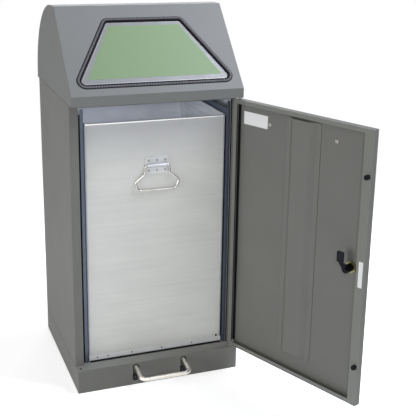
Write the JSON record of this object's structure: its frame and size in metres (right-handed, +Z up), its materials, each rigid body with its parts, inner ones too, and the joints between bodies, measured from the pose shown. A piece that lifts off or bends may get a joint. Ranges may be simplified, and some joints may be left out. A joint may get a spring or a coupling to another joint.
{
  "type": "pedal recycling bin",
  "caption": "Floor-standing sheet-steel recycling bin with a sloped hood, an inward flap worked by a pedal, a hinged front door and a pull-out galvanised container with a bail handle.",
  "frame": {"origin": "on the floor under the middle of the plinth", "axes": "+Z up, -Y towards the pedal and the door, +X towards the door's hinges"},
  "size_m": [0.5486, 0.741, 0.885],
  "materials": {
    "painted_steel": "fine-grained satin grey powder coat",
    "galvanised_sheet": "galvanised, faint spangle",
    "zinc_plated_steel": "bright zinc plate",
    "bright_steel": "drawn steel bar, satin nickel plate",
    "spring_steel": "oiled spring wire",
    "rivet_steel": "plain steel rivets",
    "edge_trim": "ribbed black rubber edge strip",
    "rubber_black": "moulded matt rubber",
    "rubber_grey": "moulded dark grey rubber",
    "nylon_white": "moulded nylon",
    "nylon_black": "moulded nylon",
    "plug_plastic": "moulded soft plastic",
    "lock_black": "black chromate",
    "brass": "machined brass"
  },
  "bodies": {
    "cabinet": {"plinth": "painted_steel", "body_shell": "painted_steel", "hood": "painted_steel", "opening_trim": "edge_trim", "guide_left": "galvanised_sheet", "guide_right": "galvanised_sheet", "flap_bearings": "nylon_black", "link_guides": "nylon_black", "pedal_brackets": "zinc_plated_steel", "pedal_bushes": "nylon_white", "pedal_spring": "spring_steel", "slot_buffers": "rubber_grey", "lower_hinge_pin": "bright_steel", "upper_hinge_pin": "bright_steel", "hood_screws": "zinc_plated_steel", "plinth_screws": "zinc_plated_steel"},
    "flap": {"flap": "painted_steel", "flap_shaft": "bright_steel", "flap_crank": "zinc_plated_steel"},
    "link": {"link_rod": "zinc_plated_steel"},
    "pedal": {"pedal_bar": "bright_steel", "pedal_shaft": "bright_steel", "pedal_crank": "zinc_plated_steel"},
    "container": {"container": "galvanised_sheet", "handle_plate": "zinc_plated_steel", "handle_rivets": "rivet_steel"},
    "bail": {"bail": "bright_steel"},
    "door": {"door_panel": "painted_steel", "door_stiffener": "painted_steel", "door_bushes": "nylon_white", "door_buffers": "rubber_black", "door_plugs": "plug_plastic", "lock_barrel": "lock_black", "lock_nut": "brass"},
    "cam": {"lock_cam": "lock_black", "lock_screw": "zinc_plated_steel"}
  },
  "joints": [
    {"name": "door_hinge", "type": "hinge", "parent": "cabinet", "child": "door", "pos_m": [0.1915, -0.174, 0.3725], "axis": [0, 0, 1], "range_deg": [-112.6, 57.4]},
    {"name": "lock_turn", "type": "hinge", "parent": "door", "child": "cam", "pos_m": [0.33166, -0.48989, 0.373], "axis": [0.9232, 0.3843, 0], "range_deg": [0, 90]},
    {"name": "flap_hinge", "type": "hinge", "parent": "cabinet", "child": "flap", "pos_m": [0, -0.03267, 0.84882], "axis": [1, 0, 0], "range_deg": [0, 70]},
    {"name": "pedal_press", "type": "hinge", "parent": "cabinet", "child": "pedal", "pos_m": [0, -0.1276, 0.036], "axis": [1, 0, 0], "range_deg": [0, 14.31], "stiffness_Nm_per_rad": 6, "springref_deg": -28.65, "deforming": ["pedal_spring"]},
    {"name": "link_slide", "type": "slide", "parent": "cabinet", "child": "link", "axis": [0, 0, 1], "range_m": [0, 0.02985]},
    {"name": "container_slide", "type": "slide", "parent": "cabinet", "child": "container", "axis": [0, -1, 0], "range_m": [0, 0.33]},
    {"name": "bail_lift", "type": "hinge", "parent": "container", "child": "bail", "pos_m": [0.004, -0.1505, 0.533], "axis": [-1, 0, 0], "range_deg": [0, 100]}
  ],
  "couplings": [
    {"joint": "pedal_press", "follows": "flap_hinge", "ratio": 0.20429},
    {"joint": "link_slide", "follows": "flap_hinge", "m_per_rad": 0.024413}
  ]
}
